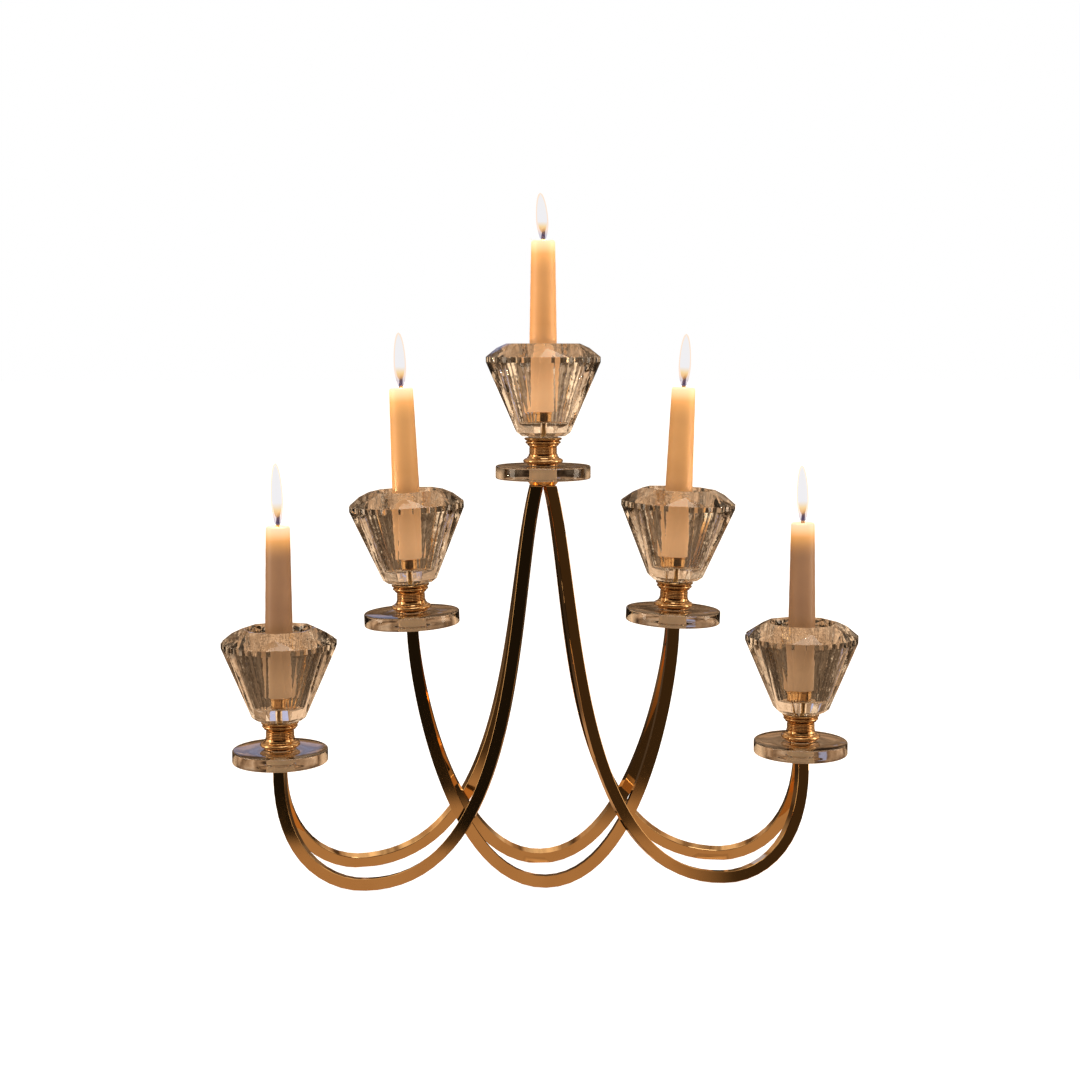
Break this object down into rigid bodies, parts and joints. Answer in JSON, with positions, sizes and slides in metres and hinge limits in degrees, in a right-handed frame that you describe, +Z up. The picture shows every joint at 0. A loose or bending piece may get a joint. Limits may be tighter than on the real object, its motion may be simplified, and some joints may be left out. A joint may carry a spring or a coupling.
{
  "type": "tabletop candelabra",
  "caption": "Tabletop candelabra: bent square brass bars in overlapping U loops carry glass discs, turned stems and faceted crystal cups with tall candles.",
  "frame": {"origin": "on the table, under the middle of the candelabra", "axes": "+Z up, +X to the right of someone facing its front, +Y towards its back"},
  "size_m": [0.5398, 0.0958, 0.5517],
  "materials": {
    "brass": "polished",
    "stud_brass": "as turned",
    "crystal": "cut and polished",
    "nylon": "satin",
    "washer": "soft clear",
    "wax": "smooth candle wax",
    "wick": "charred cotton",
    "flame": "glowing"
  },
  "bodies": {
    "stand": {"left_front_bar": "brass", "left_back_bar": "brass", "middle_front_bar": "brass", "middle_back_bar": "brass", "right_front_bar": "brass", "right_back_bar": "brass", "collar_1": "brass", "threaded_stud_1": "stud_brass", "glass_disc_1": "crystal", "disc_bush_1": "nylon", "brass_stem_1": "brass", "cup_washer_1": "washer", "crystal_cup_1": "crystal", "candle_socket_1": "brass", "collar_2": "brass", "threaded_stud_2": "stud_brass", "glass_disc_2": "crystal", "disc_bush_2": "nylon", "brass_stem_2": "brass", "cup_washer_2": "washer", "crystal_cup_2": "crystal", "candle_socket_2": "brass", "collar_3": "brass", "threaded_stud_3": "stud_brass", "glass_disc_3": "crystal", "disc_bush_3": "nylon", "brass_stem_3": "brass", "cup_washer_3": "washer", "crystal_cup_3": "crystal", "candle_socket_3": "brass", "collar_4": "brass", "threaded_stud_4": "stud_brass", "glass_disc_4": "crystal", "disc_bush_4": "nylon", "brass_stem_4": "brass", "cup_washer_4": "washer", "crystal_cup_4": "crystal", "candle_socket_4": "brass", "collar_5": "brass", "threaded_stud_5": "stud_brass", "glass_disc_5": "crystal", "disc_bush_5": "nylon", "brass_stem_5": "brass", "cup_washer_5": "washer", "crystal_cup_5": "crystal", "candle_socket_5": "brass"},
    "lift_candle_1": {"candle_1": "wax", "wick_1": "wick"},
    "lift_candle_2": {"candle_2": "wax", "wick_2": "wick"},
    "lift_candle_3": {"candle_3": "wax", "wick_3": "wick"},
    "lift_candle_4": {"candle_4": "wax", "wick_4": "wick"},
    "lift_candle_5": {"candle_5": "wax", "wick_5": "wick"}
  },
  "joints": [
    {"name": "candle_1_lift", "type": "slide", "parent": "stand", "child": "lift_candle_1", "axis": [0, 0, 1], "range_m": [0, 0.07]},
    {"name": "candle_2_lift", "type": "slide", "parent": "stand", "child": "lift_candle_2", "axis": [-0.0419, 0, 0.9991], "range_m": [0, 0.07]},
    {"name": "candle_3_lift", "type": "slide", "parent": "stand", "child": "lift_candle_3", "axis": [0, 0, 1], "range_m": [0, 0.07]},
    {"name": "candle_4_lift", "type": "slide", "parent": "stand", "child": "lift_candle_4", "axis": [0.0419, 0, 0.9991], "range_m": [0, 0.07]},
    {"name": "candle_5_lift", "type": "slide", "parent": "stand", "child": "lift_candle_5", "axis": [0, 0, 1], "range_m": [0, 0.07]}
  ]
}
